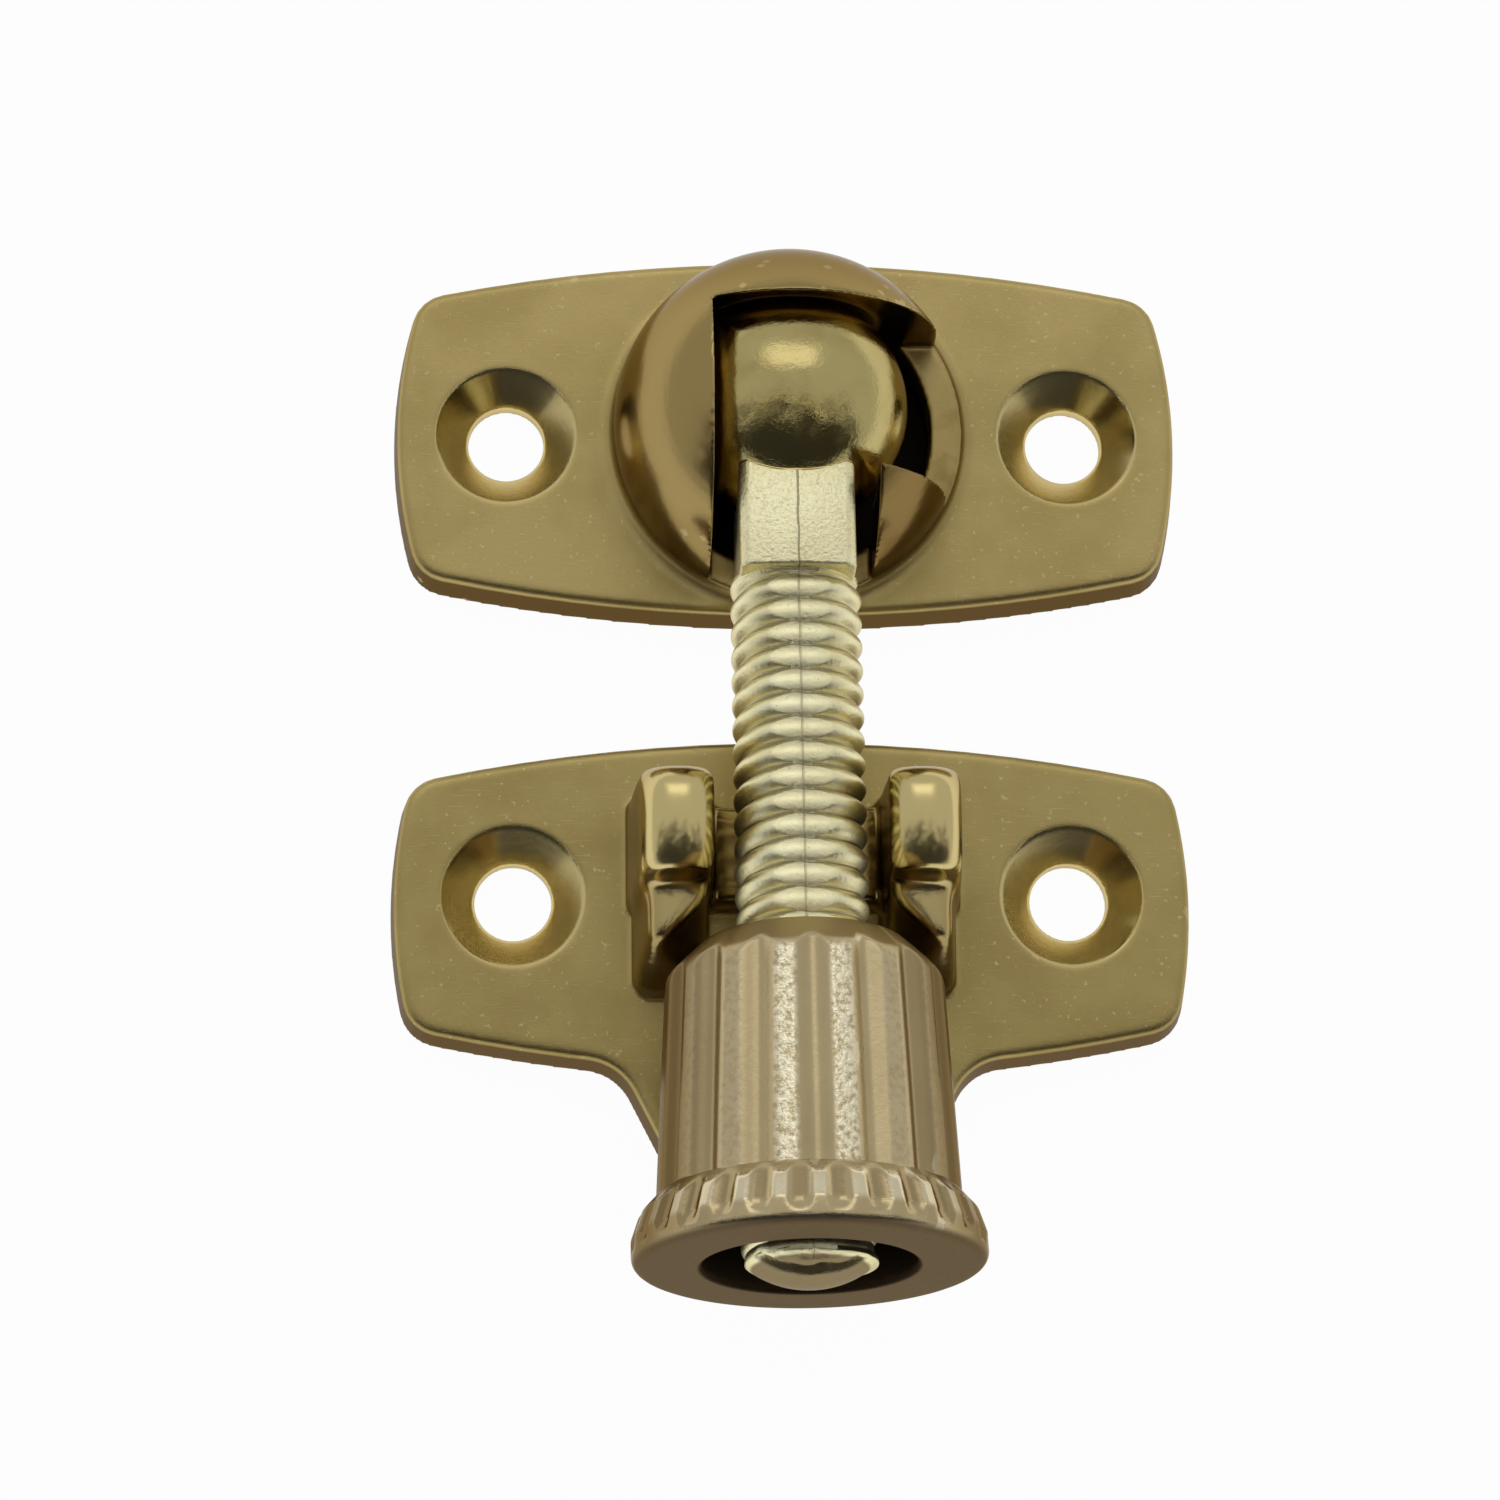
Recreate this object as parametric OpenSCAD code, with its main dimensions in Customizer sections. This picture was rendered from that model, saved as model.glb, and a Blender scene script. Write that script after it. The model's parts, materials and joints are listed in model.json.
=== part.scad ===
// Screw-down sash fastener in cast brass.
// A threaded arm turns on a ball in the hinge plate's socket and drops into the fork of the
// keep plate, where a fluted barrel nut tightens against the fork and draws the rails together.
// Millimetres. The origin is on the hinge plate's underside, midway between its screw holes.
// +Z is up out of the sash rails, and -Y runs from the hinge plate to the keep plate.

/* [Plates] */
// Width of both plates, end to end
plate_width = 52; // [50:0.5:60]
// Thickness of both plates
plate_thickness = 3.2; // [2.6:0.1:3.8]
// Depth of the keep plate on its centre line, without the tongue
keep_depth = 22.3; // [21:0.1:26]
// Distance between the hole lines of the two plates with the fastener closed
plate_spacing = 31.1; // [30:0.1:36]
// Radius of the plates' long edges in plan
side_radius = 113; // [90:1:160]
// Radius of the plates' short ends in plan
end_radius = 33; // [26:0.5:45]
// Radius of the plates' corners in plan
corner_radius = 2.8; // [1.5:0.1:4]
// Rounding of the plates' upper edge
edge_rounding = 0.5; // [0.2:0.05:0.8]
// Inward slope of the plates' sides from the underside to the rounding
side_draft = 0.3; // [0.1:0.05:0.6]

/* [Screw holes] */
// Pitch of the hinge plate's screw holes
hinge_hole_pitch = 37.1; // [36:0.1:40]
// Pitch of the keep plate's screw holes
keep_hole_pitch = 36.1; // [35:0.1:39]
// Distance of the keep plate's hole line behind its centre line
keep_hole_offset = 0.55; // [0:0.05:1.5]
// Diameter of the screw holes
screw_hole = 5; // [3.5:0.1:5.5]
// Diameter of the countersinks at the plates' upper face
countersink = 9.3; // [8:0.1:10]

/* [Ball socket] */
// Diameter of the arm's ball
ball_diameter = 15.1; // [14:0.1:15.8]
// Play between the ball and the socket's round roof
ball_play = 0.5; // [0.3:0.05:0.8]
// Gap between the ball and the retaining disc under it
ball_seat_gap = 0.15; // [0.1:0.05:0.4]
// Wall of the socket round its roof
socket_wall = 3.45; // [3:0.05:4]
// Height of the ball's centre above the centre of the socket's outer dome
ball_rise = 2.9; // [2.4:0.1:3.2]
// Clearance between the ball and the wall of the well under it
well_clearance = 1.85; // [1.2:0.05:2]
// Depth of the well's upper edge below the ball's centre
well_drop = 2; // [1.5:0.1:3]
// Fillet between the socket and its plate
socket_fillet = 0.9; // [0.5:0.1:1.1]
// Flat margin of the hinge plate in front of the socket and behind it
socket_margin = 0.2; // [0.1:0.05:2]
// Height of the slots' floor above the plate
slot_floor = 1.2; // [1:0.05:1.8]
// Clearance on each side of the neck in the slots
slot_clearance = 1.6; // [1.2:0.1:1.8]
// Thickness of the retaining disc
disc_thickness = 0.7; // [0.5:0.1:1]
// Width of the ledge that the retaining disc bears on
disc_ledge = 0.8; // [0.5:0.1:1]
// Depth of the retaining disc inside the plate's underside
disc_setback = 0.1; // [0.05:0.05:0.3]

/* [Arm] */
// Distance from the ball's centre to the end of the arm
arm_length = 58.4; // [58:0.1:66]
// Outer diameter of the arm's thread
thread_diameter = 8.4; // [7.6:0.1:8.8]
// Height of the thread over the flats where the mould parted
thread_flats = 7.5; // [7.2:0.1:8]
// Width of the square neck between the ball and the thread
neck_width = 7.4; // [6.8:0.1:7.8]
// Height of the square neck
neck_height = 8.6; // [8:0.1:9]
// Distance from the ball's centre to the end of the neck
neck_end = 12.6; // [11:0.1:15]
// Chamfer of the neck's corners
neck_chamfer = 0.5; // [0.2:0.1:0.9]
// Rise of the ridge along the neck's upper and lower faces
neck_ridge = 0.2; // [0.1:0.05:0.3]
// Radius of the arm's domed end
tip_radius = 6.4; // [5.5:0.1:12]
// Depth of the staking crease across the arm's end
stake_depth = 0.5; // [0.2:0.1:0.8]

/* [Barrel nut] */
// Length of the barrel nut
nut_length = 20.4; // [19:0.1:21]
// Distance that the closed nut is backed off from its seat
nut_backoff = 3.2; // [2:0.1:3.5]
// Clearance between the nut's flange and the keep plate's face
flange_clearance = 0.6; // [0.4:0.1:1.5]
// Radius of the flat end of the nose
nose_radius = 6.4; // [6:0.1:7]
// Radius over the ribs at the nose
nut_small_radius = 8.7; // [8.2:0.1:8.9]
// Radius over the ribs where the flange begins
nut_large_radius = 9.4; // [9:0.1:9.8]
// Radius of the collar where the barrel flares out into the flange
collar_radius = 10.4; // [10.2:0.1:10.4]
// Radius of the flange
flange_radius = 10.9; // [10.6:0.1:11.4]
// Length of the flange from the end of the ribs to the outer face
flange_length = 4.2; // [3.6:0.1:5]
// Length of the flange's straight rim
rim_length = 1.6; // [1.3:0.1:2]
// Number of grooves between the ribs
rib_count = 16; // [12:1:18]
// Width of those grooves
groove_width = 1.8; // [1.2:0.1:2]
// Depth of those grooves
groove_depth = 0.55; // [0.4:0.05:0.7]
// Number of scallops round the flange
scallop_count = 28; // [20:1:30]
// Depth of the scallops in the flange
scallop_depth = 0.4; // [0.2:0.05:0.5]
// Radius of the hollow in the nut's outer end
hollow_radius = 6.6; // [5.6:0.1:7]
// Depth of the hollow
hollow_depth = 9.8; // [7:0.1:11]
// Running gap round the thread inside the nut
thread_gap = 0.2; // [0.15:0.05:0.3]

/* [Keep fork] */
// Distance of the fork's rear face behind the keep plate's hole line
fork_rear = 6.8; // [6:0.1:7.2]
// Length of the horns on their top
horn_length = 6.6; // [5.5:0.1:7]
// Height of the horns above the arm's axis
horn_rise = 3.9; // [3:0.1:4.5]
// Width of each horn at its top
horn_width = 4.6; // [4.2:0.1:5]
// Spread of each horn's outer flank from its top to the plate
horn_draft = 0.9; // [0.8:0.1:1.3]
// Width of the cheeks in front of the horns, at the plate
cheek_width = 5.2; // [4.8:0.1:5.3]
// Inward slope of the cheeks' outer flanks from the plate to their top
cheek_draft = 1; // [0.8:0.1:1.3]
// Clearance on each side of the thread in the fork
fork_clearance = 1.1; // [0.8:0.1:1.3]
// Clearance under the thread in the fork
saddle_clearance = 0.3; // [0.2:0.05:0.5]
// Distance along the arm from the fork's rear face to the start of the nut's seat
seat_start = 8; // [7.8:0.1:8.8]
// Depth of the nut's seat along the arm
seat_depth = 3.4; // [2.8:0.1:3.6]
// Clearance round the nut's ribs in front of the seat
seat_clearance = 0.3; // [0.2:0.05:0.4]
// Height of the arm's axis above the cheeks' top at the seat's rim
rim_drop = 1; // [0.5:0.1:2]
// Run of the cheeks' front face from the seat's rim down to the plate
foot_run = 2.5; // [1.5:0.1:3]
// Distance from the keep plate's hole line to the tip of its tongue
tongue_reach = 22.8; // [21:0.1:25]
// Radius of the tongue's tip
tongue_tip = 9; // [8:0.1:9.5]
// Slope of the tongue's sides from the centre line, in degrees
tongue_slope = 27; // [22:1:30]
// Radius of the hollow corner between the tongue and the plate
tongue_corner = 3.5; // [2.5:0.1:4.5]

/* [Hidden] */
$fn = 64;

// Steps in each curve of an outline, and in the rounding of a plate's edge
curve_steps = 8;
edge_steps = 3;
// Length by which cuts run past a face, and by which joined shapes sink into each other
through = 1;
sink = 0.5;
// Play of the retaining disc in its recess
disc_play = 0.05;
// Small roundings of the fork and the nut, the corners in plan
horn_corner = 1.7;
horn_rear_round = 2.2;
horn_front_round = 1.2;
horn_side_round = 1.3;
cheek_corner = 2;
cheek_round = 1.2;
seat_rim_round = 0.6;
saddle_round = 0.6;
nose_round = 0.8;
shoulder_round = 1.5;
flare_round = 0.4;
collar_round = 1.2;
rim_round = 0.7;
hollow_round = 0.3;
// Slopes of the horns' rear and front faces, as a run from top to foot
horn_rear_slope = 0.7;
horn_front_slope = 1.4;
// Draft of the horns' inner faces, and the setback of the cheeks' inner faces behind them
horn_inner_draft = 0.2;
cheek_setback = 0.3;
// Distance of the cheeks and the saddle in front of the horns' rear faces
cheek_start = 1.2;
saddle_start = 1.6;
// Margin of the fork's plan outlines outside its drafted faces, which are cut at the corners only
plan_margin = 0.05;

ball_radius = ball_diameter / 2;
disc_top = disc_setback + disc_thickness;
ball_z = disc_top + ball_seat_gap + ball_radius;
roof_radius = ball_radius + ball_play;
dome_radius = roof_radius + socket_wall;
dome_z = ball_z - ball_rise;
well_radius = ball_radius + well_clearance;
recess_radius = well_radius + disc_ledge;
slot_half = neck_width / 2 + slot_clearance;
slot_back = neck_height / 2 + slot_clearance;
slot_z = plate_thickness + slot_floor;
slot_reach = dome_radius + socket_fillet + through;
edge_inset = side_draft + edge_rounding;
hinge_half = dome_radius + socket_margin + edge_inset;

// Run of the flare from the barrel to the collar
flare_run = 1.1;

thread_radius = thread_diameter / 2;
thread_bore = thread_radius + thread_gap;
fork_half = thread_radius + fork_clearance;

// Places along Y: the keep plate's hole line and edges, and the fork's rear face
keep_y = -plate_spacing;
keep_back = keep_y - keep_hole_offset + keep_depth / 2;
keep_front = keep_back - keep_depth;
fork_y = keep_y + fork_rear;
// Places along the arm, from the ball's centre: the arm rises so that the flange clears the plate
seat_from_fork = seat_start + nose_radius - fork_half + nut_backoff;
flange_lift = plate_thickness + flange_clearance + flange_radius - ball_z;
arm_tilt = asin(flange_lift / (-fork_y + seat_from_fork + nut_length - rim_length));
seat_s = -fork_y / cos(arm_tilt) + seat_start;
nose_s = -fork_y / cos(arm_tilt) + seat_from_fork;
// Height of the arm's axis at a given Y
function axis_z(y) = ball_z - y * tan(arm_tilt);
saddle_z = axis_z(fork_y) - thread_radius / cos(arm_tilt) - saddle_clearance;
horn_z = axis_z(fork_y - horn_length / 2) + horn_rise;
// The seat's rim, and the height of the cheeks there
rim_y = -(seat_s + seat_depth) * cos(arm_tilt);
cheek_z = axis_z(rim_y) - rim_drop;

brass = "#b3a269";
cast_brass = "#c2b184";
rosy_brass = "#a58d68";
sheet_brass = "#a89455";

function unit(v) = v / norm(v);
function heading(v) = atan2(v.y, v.x);
// The same angle between -180 and 180 degrees
function turn(a) = a > 180 ? a - 360 : a < -180 ? a + 360 : a;
// Points on an arc about c, from angle a to angle b
function arc(c, r, a, b, n = curve_steps) =
    [for (i = [0 : n]) let(t = a + (b - a) * i / n) c + r * [cos(t), sin(t)]];
// Point where two circles cross, on the right of the way from the first centre to the second
function crossing(c1, r1, c2, r2) =
    let(d = c2 - c1, l = norm(d), a = (r1 * r1 - r2 * r2 + l * l) / (2 * l), h = sqrt(r1 * r1 - a * a))
    c1 + d / l * a + [d.y, -d.x] / l * h;
// Round of radius r on the corner q between the points p and s
function round_corner(p, q, s, r) =
    let(u = unit(p - q), v = unit(s - q), half = acos(u * v) / 2, c = q + unit(u + v) * r / sin(half))
    let(a = heading(q + u * r / tan(half) - c), b = heading(q + v * r / tan(half) - c))
    arc(c, r, a, a + turn(b - a), curve_steps / 2);
// Closed outline through corners given as [x, y, radius]
function rounded(corners) =
    let(n = len(corners), at = [for (k = corners) [k.x, k.y]])
    [for (i = [0 : n - 1]) each corners[i].z == 0 ? [at[i]]
        : round_corner(at[(i + n - 1) % n], at[i], at[(i + 1) % n], corners[i].z)];
// Closed outline from its right half, listed from the front centre to the back centre
function both_halves(right) =
    concat(right, [for (i = [len(right) - 2 : -1 : 1]) [-right[i].x, right[i].y]]);

// Right half of a plate's edge behind its middle: the end, the corner and the long edge
function back_half(front, back, inset) =
    let(side_c = [0, back - side_radius], end_c = [plate_width / 2 - end_radius, (front + back) / 2])
    let(c = crossing(side_c, side_radius - corner_radius, end_c, end_radius - corner_radius))
    concat(
        arc(end_c, end_radius - inset, 0, heading(c - end_c)),
        arc(c, corner_radius - inset, heading(c - end_c), heading(c - side_c), curve_steps / 2),
        arc(side_c, side_radius - inset, heading(c - side_c), 90));
// The same stretch mirrored to the front, listed from the front centre
function front_half(front, back, inset) =
    let(half = back_half(front, back, inset))
    [for (i = [len(half) - 1 : -1 : 1]) [half[i].x, front + back - half[i].y]];

function hinge_outline(inset) =
    both_halves(concat(
        front_half(-hinge_half, hinge_half, inset), back_half(-hinge_half, hinge_half, inset)));

// Distance along a line from the point p to the circle of radius r about the origin
function run_to_circle(p, along, r) = -p * along - sqrt((p * along) * (p * along) - p * p + r * r);
// The keep plate's outline, with the tongue growing out of its front edge by a hollow corner
function keep_outline(inset) =
    let(side_c = [0, keep_front + side_radius], tip_c = [0, keep_y - tongue_reach + tongue_tip])
    let(out = [cos(tongue_slope), -sin(tongue_slope)], along = [sin(tongue_slope), cos(tongue_slope)])
    let(p = tip_c + (tongue_tip + tongue_corner) * out - side_c)
    let(c = side_c + p + along * run_to_circle(p, along, side_radius + tongue_corner))
    both_halves(concat(
        arc(tip_c, tongue_tip - inset, -90, -tongue_slope),
        arc(c, tongue_corner + inset, 180 - tongue_slope, heading(side_c - c)),
        [for (q = front_half(keep_front, keep_back, inset))
            if (heading(q - side_c) > heading(c - side_c) + 0.5) q],
        back_half(keep_front, keep_back, inset)));

// Solid between outlines that shrink upwards, each a pair of mirrored halves. The flat faces are
// strips from each point to its mirror image, so that a hollow outline is filled correctly.
module loft(outlines, heights) {
    n = len(outlines[0]);
    last = len(outlines) - 1;
    points = [for (k = [0 : last]) for (q = outlines[k]) [q.x, q.y, heights[k]]];
    sides = [for (k = [0 : last - 1]) for (i = [0 : n - 1])
        [k * n + i, (k + 1) * n + i, (k + 1) * n + (i + 1) % n, k * n + (i + 1) % n]];
    strips = concat(
        [[0, 1, n - 1]],
        [for (i = [1 : n / 2 - 2]) [i, i + 1, n - i - 1, n - i]],
        [[n / 2 - 1, n / 2, n / 2 + 1]]);
    lid = [for (s = strips) [for (i = [len(s) - 1 : -1 : 0]) last * n + s[i]]];
    polyhedron(points, concat(strips, sides, lid));
}

// Insets and heights of a plate's side: a slope, then the rounded upper edge
edge_angles = [for (i = [0 : edge_steps]) 90 * i / edge_steps];
side_insets = concat([0], [for (a = edge_angles) side_draft + edge_rounding * (1 - cos(a))]);
side_heights = concat([0], [for (a = edge_angles) plate_thickness - edge_rounding * (1 - sin(a))]);

// A pair of countersunk screw holes
module screw_holes(pitch, y) {
    depth = (countersink - screw_hole) / 2;
    for (side = [-1, 1]) translate([side * pitch / 2, y, 0]) {
        translate([0, 0, -through]) cylinder(d = screw_hole, h = plate_thickness + 2 * through);
        translate([0, 0, plate_thickness - depth])
            cylinder(d1 = screw_hole, d2 = countersink + 2 * through, h = depth + through);
    }
}

// Frame of the closed arm: +Z runs along the arm from the ball's centre, +Y is its upper side
module along_arm() translate([0, 0, ball_z]) rotate([90 - arm_tilt, 0, 0]) children();

// The socket's outer dome, standing on the plate with a fillet that stops at the plate's edge
module socket() {
    translate([0, 0, dome_z]) sphere(dome_radius);
    translate([0, 0, sink]) cylinder(r = dome_radius, h = dome_z - sink);
    intersection() {
        rotate_extrude() difference() {
            translate([dome_radius - sink, plate_thickness - sink])
                square([socket_fillet + sink, socket_fillet + sink]);
            translate([dome_radius + socket_fillet, plate_thickness + socket_fillet])
                circle(socket_fillet);
        }
        linear_extrude(plate_thickness + socket_fillet + through) polygon(hinge_outline(edge_inset));
    }
}

// The ball's well and round roof, the recess of the retaining disc, and the two crossing slots
// that let the neck stand up, lie forward or lie to the right
module socket_cuts() {
    translate([0, 0, ball_z]) sphere(roof_radius);
    translate([0, 0, disc_top - sink]) cylinder(r = well_radius, h = ball_z - well_drop - disc_top + sink);
    translate([0, 0, -through]) cylinder(r = recess_radius, h = disc_top + through);
    translate([-slot_half, -slot_reach, slot_z]) cube([2 * slot_half, slot_reach + slot_back, slot_reach * 2]);
    translate([-slot_half, -slot_half, slot_z])
        cube([slot_half + slot_reach, slot_half + slot_back, slot_reach * 2]);
}

module hinge_plate() {
    color(brass) difference() {
        union() {
            loft([for (inset = side_insets) hinge_outline(inset)], side_heights);
            difference() {
                socket();
                translate([0, 0, sink - 2 * dome_radius]) cube(4 * dome_radius, center = true);
            }
        }
        socket_cuts();
        screw_holes(hinge_hole_pitch, 0);
    }
}

module ball_retainer() {
    color(sheet_brass) translate([0, 0, disc_setback])
        cylinder(r = recess_radius - disc_play, h = disc_thickness);
}

// Square neck with chamfered corners and a faint ridge where the mould parted
module neck() {
    w = neck_width / 2;
    h = neck_height / 2;
    c = neck_chamfer;
    quarter = [[w, h - c], [w - c, h], [0, h + neck_ridge]];
    linear_extrude(neck_end) polygon(concat(
        quarter,
        [[c - w, h], [-w, h - c], [-w, c - h], [c - w, -h], [0, -h - neck_ridge], [w - c, -h], [w, c - h]]));
}

// Bar of the thread with two flats and a domed end, staked across so that the nut stays on
module threaded_bar() {
    difference() {
        intersection() {
            union() {
                cylinder(r = thread_radius, h = arm_length - tip_radius);
                translate([0, 0, arm_length - tip_radius]) sphere(tip_radius);
            }
            cylinder(r = thread_radius, h = arm_length);
            translate([-thread_radius, -thread_flats / 2, 0])
                cube([2 * thread_radius, thread_flats, arm_length]);
        }
        translate([0, 0, arm_length]) rotate([45, 0, 0])
            cube([4 * thread_radius, stake_depth * sqrt(2), stake_depth * sqrt(2)], center = true);
    }
}

module threaded_arm() {
    color(cast_brass) along_arm() {
        sphere(ball_radius);
        neck();
        threaded_bar();
    }
}

// Half section of the nut, from the nose to the hollow outer end
module nut_section() {
    l = nut_length;
    polygon(rounded([
        [thread_bore, 0, 0],
        [nose_radius, 0, nose_round],
        [nut_small_radius, nut_small_radius - nose_radius, shoulder_round],
        [nut_large_radius, l - flange_length, flare_round],
        [collar_radius, l - flange_length + flare_run, collar_round],
        [flange_radius, l - rim_length, rim_round],
        [flange_radius, l, rim_round],
        [hollow_radius, l, hollow_round],
        [hollow_radius, l - hollow_depth, 0],
        [thread_bore, l - hollow_depth, 0]]));
}

// Round-bottomed cut of radius r from z1 to z2, with a round end at z2
module round_cut(r, z1, z2) {
    translate([0, 0, z1]) cylinder(r = r, h = z2 - z1);
    translate([0, 0, z2]) sphere(r);
}

// Grooves that follow the barrel's taper up to the flare and leave the ribs standing
module grooves() {
    r = (groove_width * groove_width / 4 + groove_depth * groove_depth) / (2 * groove_depth);
    run = nut_length - flange_length - (nut_small_radius - nose_radius);
    taper = atan((nut_large_radius - nut_small_radius) / run);
    for (i = [0 : rib_count - 1]) rotate([0, 0, 360 * i / rib_count])
        translate([nut_small_radius, 0, nut_small_radius - nose_radius]) rotate([0, taper, 0])
            translate([r - groove_depth, 0, -nut_small_radius]) cylinder(r = r, h = nut_small_radius + run);
}

// Scallops down the collar, open towards the ribs and round at the rim
module scallops() {
    r = 0.84 * flange_radius * sin(180 / scallop_count);
    run = flange_length - rim_length - flare_run;
    for (i = [0 : scallop_count - 1]) rotate([0, 0, 360 * (i + 0.5) / scallop_count])
        translate([flange_radius, 0, nut_length - rim_length])
            rotate([0, atan((flange_radius - collar_radius) / run), 0])
                translate([r - scallop_depth, 0, 0]) round_cut(r, -flange_length, 0);
}

module barrel_nut() {
    color(rosy_brass) along_arm() translate([0, 0, nose_s]) difference() {
        rotate_extrude() nut_section();
        grooves();
        scallops();
    }
}

// Solids of one outline as seen from the side, from the front and from above
module from_side() rotate([90, 0, 90]) linear_extrude(4 * plate_width, center = true) children();
module from_front() rotate([90, 0, 0]) linear_extrude(4 * plate_spacing, center = true) children();
module from_above() linear_extrude(4 * horn_z, center = true) children();

// The same outline on both sides of the arm
module both_sides(corners) {
    for (side = [-1, 1]) polygon(rounded([for (k = corners) [side * k.x, k.y, k.z]]));
}

// Two thumb-shaped horns that guide the arm
module horns() {
    foot = plate_thickness - sink;
    front = fork_y - horn_rear_slope - horn_length;
    outer = fork_half + horn_width;
    m = plan_margin;
    intersection() {
        from_side() polygon(rounded([
            [fork_y, foot, 0],
            [front - horn_front_slope, foot, 0],
            [front, horn_z, horn_front_round],
            [fork_y - horn_rear_slope, horn_z, horn_rear_round]]));
        from_front() both_sides([
            [fork_half, foot, 0],
            [outer + horn_draft, foot, 0],
            [outer, horn_z, horn_side_round],
            [fork_half + horn_inner_draft, horn_z, horn_side_round]]);
        from_above() both_sides([
            [fork_half - m, front - horn_front_slope - m, horn_corner],
            [outer + horn_draft + m, front - horn_front_slope - m, horn_corner],
            [outer + horn_draft + m, fork_y + m, horn_corner],
            [fork_half - m, fork_y + m, horn_corner]]);
    }
}

// In front of each horn the lower cheek that carries the nut's seat
module cheeks() {
    foot = plate_thickness - 1.5 * sink;
    rear = fork_y - cheek_start;
    inner = fork_half + cheek_setback;
    outer = fork_half + cheek_width;
    m = plan_margin;
    intersection() {
        from_side() polygon(rounded([
            [rear, foot, 0],
            [rim_y - foot_run, foot, 0],
            [rim_y, cheek_z, seat_rim_round],
            [rear, cheek_z, 0]]));
        from_front() both_sides([
            [inner, foot, 0],
            [outer, foot, 0],
            [outer - cheek_draft, cheek_z, cheek_round],
            [inner, cheek_z, 0]]);
        from_above() both_sides([
            [inner - m, rim_y - foot_run - m, 0],
            [outer + m, rim_y - foot_run - m, cheek_corner],
            [outer + m, rear + m, 0],
            [inner - m, rear + m, 0]]);
    }
}

// Low block between the horns, under the closed arm
module saddle() {
    foot = plate_thickness - 2 * sink;
    front = -seat_s * cos(arm_tilt);
    rear = fork_y - saddle_start;
    rotate([90, 0, 90]) linear_extrude(2 * (fork_half + sink), center = true) polygon(rounded([
        [rear, foot, 0],
        [front, foot, 0],
        [front, saddle_z, saddle_round],
        [rear, saddle_z, saddle_round]]));
}

module fork() {
    difference() {
        union() {
            horns();
            cheeks();
            saddle();
        }
        along_arm() translate([0, 0, seat_s]) nut_seat();
    }
}

// Cone that the nut's nose closes on, then a round clearance for its ribs
module nut_seat() {
    clear = nut_small_radius + seat_clearance;
    cylinder(r1 = fork_half, r2 = clear, h = clear - fork_half);
    translate([0, 0, clear - fork_half - sink]) cylinder(r = clear, h = nut_length);
}

module keep_plate() {
    color(brass) difference() {
        union() {
            loft([for (inset = side_insets) keep_outline(inset)], side_heights);
            fork();
        }
        screw_holes(keep_hole_pitch, keep_y);
    }
}

hinge_plate();
ball_retainer();
threaded_arm();
barrel_nut();
keep_plate();
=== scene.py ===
"""Looks of a screw-down sash fastener in cast brass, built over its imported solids.

The two plates are cast skins over the solids, and the ball arm, the barrel nut and the retaining
disc are modelled here. Sizes are in millimetres until a finished mesh is placed in the part's frame.
"""

import json
import logging
import math
from abc import ABC, abstractmethod
from dataclasses import dataclass
from enum import Enum
from functools import cached_property, partialmethod
from typing import Any, Mapping, Optional, Sequence, Union

import bmesh
import bpy
from mathutils import Euler, Matrix, Vector, noise

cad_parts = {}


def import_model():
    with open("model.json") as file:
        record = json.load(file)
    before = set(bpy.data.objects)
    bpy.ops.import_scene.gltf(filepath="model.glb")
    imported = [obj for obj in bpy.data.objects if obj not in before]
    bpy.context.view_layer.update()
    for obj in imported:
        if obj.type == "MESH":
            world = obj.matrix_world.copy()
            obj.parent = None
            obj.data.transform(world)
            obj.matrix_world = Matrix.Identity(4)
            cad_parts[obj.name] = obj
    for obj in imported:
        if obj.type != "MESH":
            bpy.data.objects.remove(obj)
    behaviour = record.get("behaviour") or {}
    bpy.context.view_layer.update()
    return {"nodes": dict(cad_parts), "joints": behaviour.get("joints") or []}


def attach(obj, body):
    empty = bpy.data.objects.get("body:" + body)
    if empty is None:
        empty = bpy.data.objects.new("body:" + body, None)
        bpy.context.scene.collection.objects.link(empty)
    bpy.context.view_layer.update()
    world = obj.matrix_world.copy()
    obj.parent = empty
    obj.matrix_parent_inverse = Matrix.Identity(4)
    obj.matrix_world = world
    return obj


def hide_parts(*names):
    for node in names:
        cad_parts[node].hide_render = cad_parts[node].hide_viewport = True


LOG = logging.getLogger("sash_fastener")
MM = 0.001

# Distance within which points of a shape in millimetres are one
WELD = 1e-4

# Tint of reflections at grazing angles, which would be white otherwise
GRAZING_TINT = (0.66, 0.6, 0.52, 1.0)

Point = tuple[float, float, float]
Colour = tuple[float, float, float]
# Values at which a soft step leaves 0 and reaches 1
Step = tuple[float, float]


class Body(Enum):
    """Moving groups of the fastener."""

    PLATES = "plates"
    ARM = "arm"
    NUT = "nut"


class Slot(Enum):
    """Finishes that the record names."""

    PLATE = "plate_brass"
    SHEET = "sheet_brass"
    ARM = "arm_brass"
    NUT = "nut_brass"


@dataclass(frozen=True)
class Blotches:
    """A noise: size of its blotches, number of finer layers and strength of those layers."""

    size: float
    detail: float = 2.0
    roughness: float = 0.5


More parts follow.
